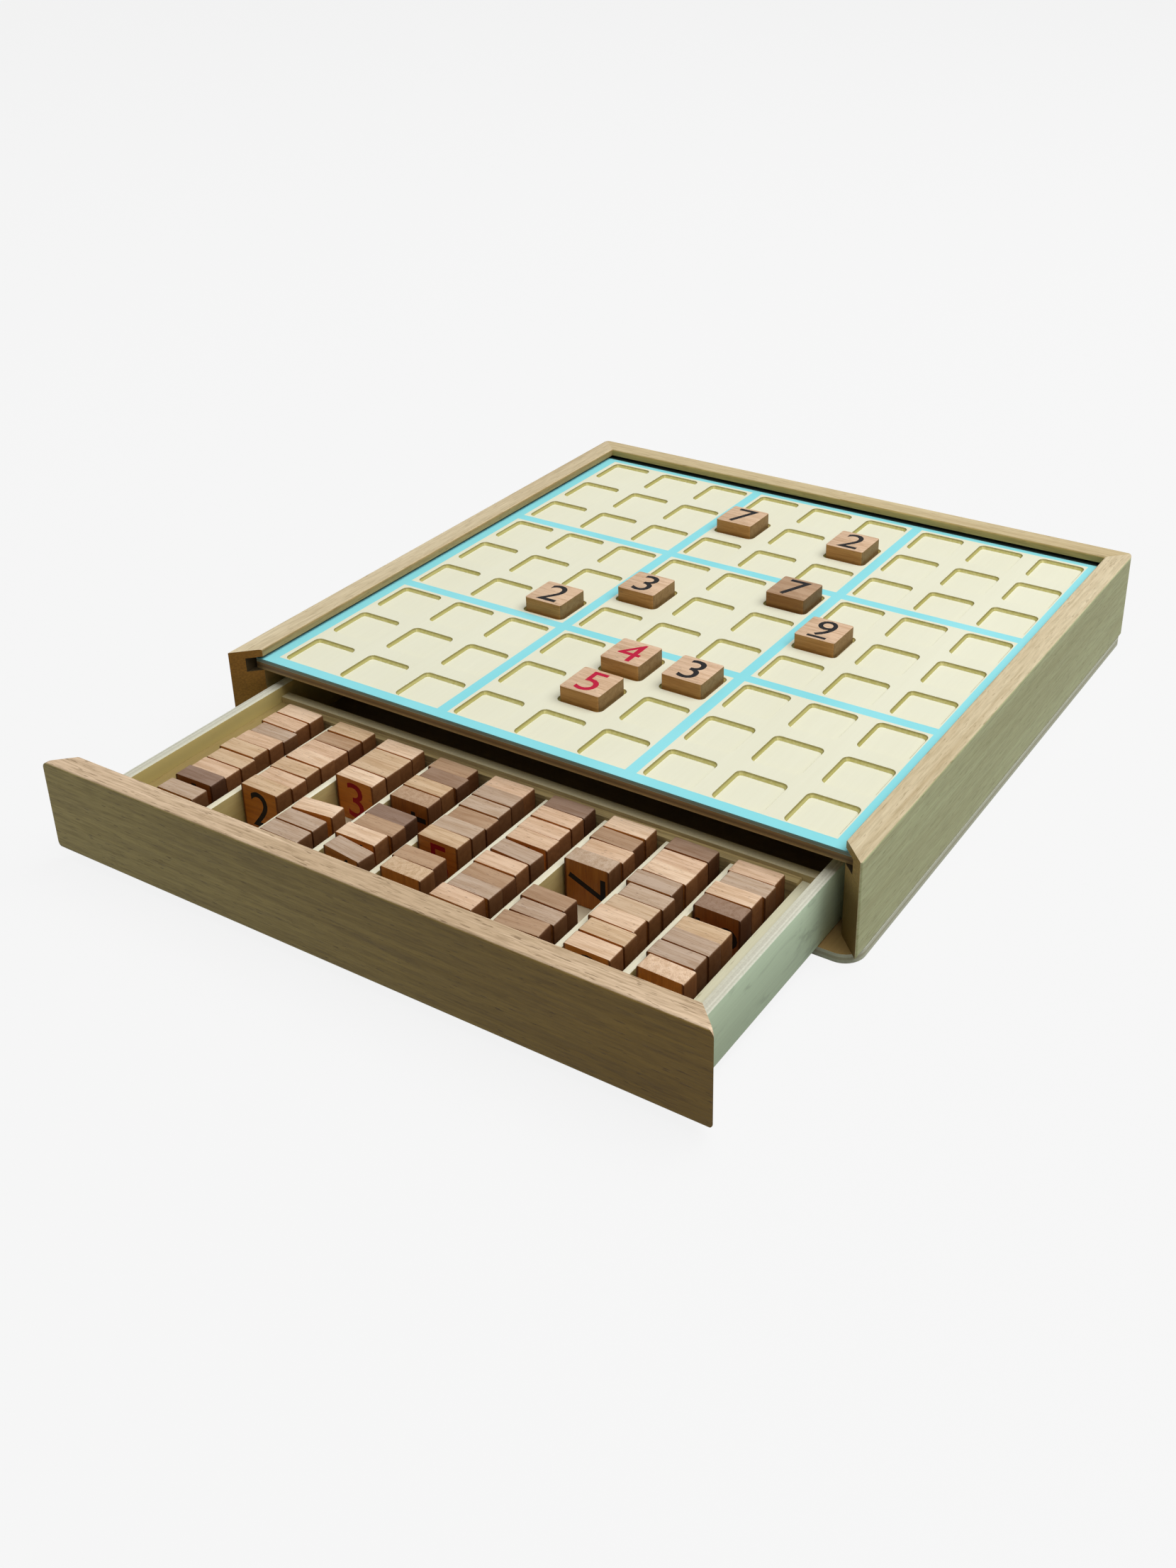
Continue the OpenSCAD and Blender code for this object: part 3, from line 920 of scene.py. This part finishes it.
# The attribute "stored" is 0 in play, 1 in the drawer and 2 for a tile that is rolled over there
def tileFinish():
    look, shares = tileLook, tileLook["figureShares"]
    paint = Finish("tileWood", look["roughness"], look["specular"])
    local, drift = paint.attribute("woodPlace", "Vector"), paint.attribute("drift", "Vector")
    spot = paint.node("ShaderNodeVectorMath", {"operation": "ADD"}, {0: local, 1: drift})
    bands, fibres, pores = (
        paint.grain("X", vector=spot, **look[part]) for part in ("bands", "fibres", "pores"))
    species = paint.ramp(paint.attribute("tone", "Fac"), look["species"])
    figure = paint.smooth(bands * shares["bands"] + fibres * shares["fibres"], *look["figureEdge"])
    wood = paint.mix(figure, paint.tinted(species, look["figure"]), species)
    # Upright faces with painted shade, deeper in the drawer and near the upright edges there
    stored = paint.attribute("stored", "Fac")
    offX, offY = (abs(paint.axis(local, name)) for name in "XY")
    offMiddle = offX + (stored > 1.5) * (offY - offX)
    nearEdge = paint.smooth(offMiddle, *(tiles["side"] / 2 - band for band in look["storedRimShadeBand"]))
    storedSideShade = dict(look["storedSideShade"])
    storedSideShade["Y"] = paint.mix(nearEdge, storedSideShade["Y"], look["storedRimShade"])
    for axis, inPlay in look["playSideShade"].items():
        tint = paint.mix(stored, inPlay, storedSideShade[axis])
        wood = paint.mix(paint.towards(axis, *look["sideEdge"]), wood, paint.tinted(wood, tint))
    wood = paint.mix(paint.smooth(pores, *look["poreEdge"]) * look["poreStrength"], wood, look["pore"])
    paint.feed("Base Color", wood)
    paint.feed("Roughness", fibres * look["roughSwing"] + look["roughness"])
    paint.bump(fibres, look["relief"])
    return paint


def ink(name, thick, thin, stored):
    look = inkLook
    paint = Finish(name, look["roughness"], look["specular"])
    worn = paint.grain("X", **look["worn"])
    colour = paint.mix(paint.smooth(worn, *look["wornEdge"]), thick, thin)
    # Painted shade: ink on tiles in the drawer takes the darker stored colour
    paint.feed("Base Color", paint.mix(paint.attribute("stored", "Fac"), colour, stored))
    paint.bump(worn, look["relief"], look["reliefStrength"])
    return paint


tileWood = tileFinish()
# The last colour of each ink is its painted shade in the drawer
blackInk = ink("blackInk", (0.012, 0.011, 0.012), (0.05, 0.04, 0.035), (0.016, 0.012, 0.01))
redInk = ink("redInk", (0.52, 0.012, 0.05), (0.58, 0.06, 0.08), (0.33, 0.012, 0.018))


def tileMesh():
    shape = bmesh.new()
    size = (tiles["side"], tiles["side"], tiles["thick"])
    for corner in bmesh.ops.create_cube(shape, size=1.0)["verts"]:
        corner.co = Vector(corner.co[i] * size[i] for i in range(3))

    def rounded(upright, offset, steps):
        edges = [edge for edge in shape.edges
                 if (abs(edge.verts[0].co.z - edge.verts[1].co.z) > mm) == upright]
        bmesh.ops.bevel(shape, geom=edges, offset=offset, segments=steps, profile=0.5, affect="EDGES")

    rounded(True, tiles["cornerRound"], tiles["cornerSteps"])
    rounded(False, tiles["edgeRound"], tiles["edgeSteps"])
    return finishedMesh(shape, "tile", tileWood)


# Moves each corner of a flat outline outwards by the same step
def thicken(shape, step, sharpest=0.4):
    shape.normal_update()
    outward = {}
    for edge in shape.edges:
        if edge.is_boundary:
            loop = edge.link_loops[0]
            along = (loop.link_loop_next.vert.co - loop.vert.co).normalized()
            for vert in edge.verts:
                outward.setdefault(vert, []).append(Vector((along.y, -along.x, 0)) * loop.face.normal.z)
    for vert, (first, second) in outward.items():
        vert.co += (first + second) * (step / max(1 + first.dot(second), sharpest))


def digitMesh(digit):
    data = bpy.data.curves.new("digit%d" % digit, "FONT")
    data.body = str(digit)
    data.align_x = "CENTER"
    data.resolution_u = tiles["digitSteps"]
    holder = hold("digit", data)
    bpy.context.view_layer.update()
    mesh = bpy.data.meshes.new_from_object(holder.evaluated_get(bpy.context.evaluated_depsgraph_get()))
    bpy.data.objects.remove(holder)
    low, high = extent(mesh.vertices)
    lined = digit in tiles["underlined"]
    tall = tiles["underlinedHigh"] if lined else tiles["digitHigh"]
    lift = (tiles["underline"] + tiles["underlineGap"]) / 2 if lined else 0.0
    grow = (tall - 2 * tiles["digitBold"]) / (high.y - low.y)
    shape = bmesh.new()
    shape.from_mesh(mesh)
    for vert in shape.verts:
        vert.co = (vert.co - (low + high) / 2) * grow + Vector((0, lift, 0))
    bmesh.ops.remove_doubles(shape, verts=shape.verts, dist=tiles["digitMerge"])
    thicken(shape, tiles["digitBold"])
    grown = bmesh.ops.extrude_face_region(shape, geom=list(shape.faces), use_keep_orig=True)["geom"]
    raised = {item for item in grown if isinstance(item, bmesh.types.BMVert)}
    for vert in shape.verts:
        vert.co.z = tiles["inkThick"] if vert in raised else -tiles["inkRoot"]
    bmesh.ops.recalc_face_normals(shape, faces=shape.faces)
    if lined:
        wide = (high.x - low.x) * grow + 2 * tiles["digitBold"]
        foot = lift - tall / 2 - tiles["underlineGap"]
        softBlock(shape, (-wide / 2, foot - tiles["underline"], -tiles["inkRoot"]),
                  (wide / 2, foot, tiles["inkThick"]), tiles["underlineBevel"], 1)
    shape.to_mesh(mesh)
    shape.free()
    return mesh


tileSet = Pattern("tileSet", {"Tile": "Object", "Digit": "Object", "Thick": "Float", "Wood": "Material",
                              "Black": "Material", "Red": "Material"})
half = tileSet.given("Thick") * 0.5


def digitFace(height, key, turn=0.0):
    moved = tileSet.node("GeometryNodeTransform", None, {
        "Geometry": tileSet.shapeOf("Digit"), "Rotation": (0, turn, 0),
        "Translation": tileSet.node("ShaderNodeCombineXYZ", None, {"Z": height})})
    return tileSet.painted(moved, key)


def pointValue(key):
    return tileSet.node("GeometryNodeInputNamedAttribute", {"data_type": "FLOAT_VECTOR"}, {"Name": key})


blank = tileSet.painted(tileSet.shapeOf("Tile"), "Wood")
whole = tileSet.node("GeometryNodeJoinGeometry", None, {
    0: [digitFace(half * -1.0, "Red", math.pi), digitFace(half, "Black"), blank]})
whole = tileSet.node("GeometryNodeStoreNamedAttribute", {"data_type": "FLOAT_VECTOR", "domain": "POINT"}, {
    "Geometry": whole, "Name": "woodPlace", "Value": tileSet.node("GeometryNodeInputPosition")})
tileSet.end(tileSet.repeated(
    tileSet.given("Geometry"), whole, Rotation=pointValue("turn"), Scale=pointValue("stretch")))

tileObject = hold("tile", tileMesh())
chance = random.Random(tiles["seed"])


def makeTiles(name, digit, places, body):
    start = bpy.data.meshes.new(name + "Start")
    start.from_pydata([place["centre"] for place in places], [], [])
    for key, kind in (("turn", "FLOAT_VECTOR"), ("stretch", "FLOAT_VECTOR"), ("drift", "FLOAT_VECTOR"),
                      ("tone", "FLOAT"), ("stored", "FLOAT")):
        layer = start.attributes.new(key, kind, "POINT")
        for item, place in zip(layer.data, places):
            setattr(item, "value" if kind == "FLOAT" else "vector", place[key])
    digitObject = hold("digit", digitMesh(digit))
    mesh = tileSet.run(start, {
        "Tile": tileObject, "Digit": digitObject, "Thick": tiles["thick"], "Wood": tileWood.material,
        "Black": blackInk.material, "Red": redInk.material}, name)
    bpy.data.objects.remove(digitObject)
    smoothFaces(mesh)
    addPiece(name, mesh, body, [body])


# Centre, height and turn of each solid in a node, from the back to the front
def solidsOf(node, weld=0.002 * mm):
    shape = bmesh.new()
    shape.from_mesh(nodes[node].data)
    bmesh.ops.remove_doubles(shape, verts=shape.verts, dist=weld)
    left, found = set(shape.verts), []
    while left:
        island, ahead = set(), [left.pop()]
        while ahead:
            vert = ahead.pop()
            island.add(vert)
            for link in vert.link_edges:
                other = link.other_vert(vert)
                if other in left:
                    left.discard(other)
                    ahead.append(other)
        faces = {face for vert in island for face in vert.link_faces}
        flat = max(faces, key=lambda face: face.calc_area())
        low, high = extent(island)
        normal = flat.normal if flat.normal.y < 0 else -flat.normal
        found.append(((low + high) / 2, high.z - low.z, math.atan2(normal.x, -normal.y)))
    shape.free()
    return sorted(found, key=lambda item: -item[0].y)


def makePlace(centre, turn, stretch, tone, stored):
    return {"centre": centre, "turn": turn, "stretch": stretch, "tone": tone, "stored": stored,
            "drift": (chance.uniform(-1, 1), chance.uniform(-1, 1), chance.uniform(-1, 1))}


# Stored tiles stand where their solids stand: the wood of each, from the back to the front
compartments = (
    ("ones", "pale pink grey pink tan tan pink dark grey"),
    ("twos", "tan brown pink pale tan pink tan"),
    ("threes", "pale tan tan pale pale grey grey"),
    ("fours", "brown dark tan brown dark brown pale grey"),
    ("fives", "pink grey grey brown grey tan brown tan"),
    ("sixes", "dark pink pink pink grey pink brown grey pink"),
    ("sevens", "pale brown pink grey brown grey brown"),
    ("eights", "dark pink pale grey grey tan pale tan pale"),
    ("nines", "pink grey pale dark tan grey grey pale"),
)
quarter = math.pi / 2
rolled = {4: {3: quarter}, 5: {7: quarter}, 7: {3: -quarter}, 9: {3: -quarter, 7: quarter}}
redShown = {3: (3,), 5: (5,)}
blackShown = (3, 5, 6, 7)
redEvery, redFrom = 5, 2


# The red face is to the front on two tiles that show it, and on about every fifth of the covered ones
def redToFront(digit, i):
    return i in redShown.get(digit, ()) or (i not in blackShown and (digit + i) % redEvery == redFrom)


def swing(most):
    return chance.uniform(-most, most)


for digit, (name, woods) in enumerate(compartments, 1):
    places = []
    for i, ((centre, high, yaw), kind) in enumerate(zip(solidsOf("stored_" + name), woods.split())):
        roll = rolled.get(digit, {}).get(i, 0.0)
        lean, twist = math.radians(swing(tiles["leanDegrees"])), math.radians(swing(tiles["twistDegrees"]))
        turn = (quarter + lean, -roll, yaw + twist + (math.pi if redToFront(digit, i) else 0.0))
        tone = tileLook["woods"][kind] + swing(tiles["toneSwing"])
        centre.x += swing(tiles["sway"])
        places.append(makePlace(centre, turn, (1.0, high / tiles["side"], 1.0), tone, 2.0 if roll else 1.0))
    makeTiles("stored" + name.capitalize(), digit, places, "stored_" + name)

# Tiles in play: digit, whether the red face is up, and tone of the wood
inPlay = (
    (7, False, 0.74), (2, False, 0.76), (7, False, 0.19), (3, False, 0.76), (9, False, 0.76),
    (2, False, 0.74), (4, True, 0.76), (3, False, 0.76), (5, True, 0.74),
)
for i, (digit, red, tone) in enumerate(inPlay, 1):
    node = "board_tile_%d" % i
    low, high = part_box(node)
    turn = (0.0, math.pi if red else 0.0, 0.0)
    place = makePlace((low + high) / 2, turn, (1.0, 1.0, 1.0), tone, 0.0)
    makeTiles("playTile%d" % i, digit, [place], node)
bpy.data.objects.remove(tileObject)
print("tiles made")
